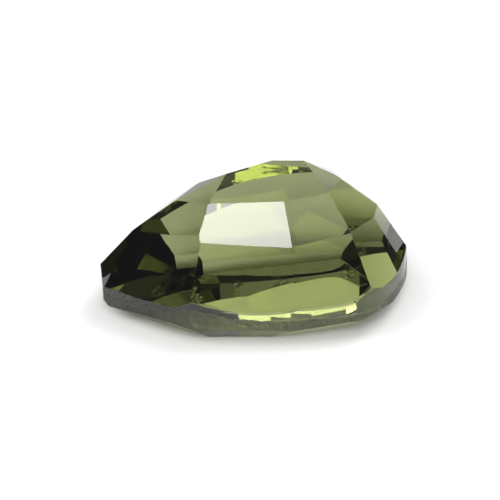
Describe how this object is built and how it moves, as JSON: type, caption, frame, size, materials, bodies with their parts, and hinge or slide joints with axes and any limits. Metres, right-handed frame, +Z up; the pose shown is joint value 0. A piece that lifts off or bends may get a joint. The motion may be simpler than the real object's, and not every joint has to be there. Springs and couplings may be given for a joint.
{
  "type": "faceted kornerupine",
  "caption": "Loose pear-cut green gemstone with a blunt tip, lying on its table with the faceted pavilion up.",
  "frame": {"origin": "middle of the bounding box, on the plane of the table that the stone rests on", "axes": "+X along the length from the blunt tip to the round end, +Y across the width to the side that the picture hides, +Z up through the keel of the pavilion"},
  "size_m": [0.0092, 0.0058, 0.0046],
  "materials": {
    "gem": "clear olive-green crystal, polished facets, dull ground girdle"
  },
  "bodies": {
    "root": {"kornerupine": "gem"}
  },
  "joints": []
}
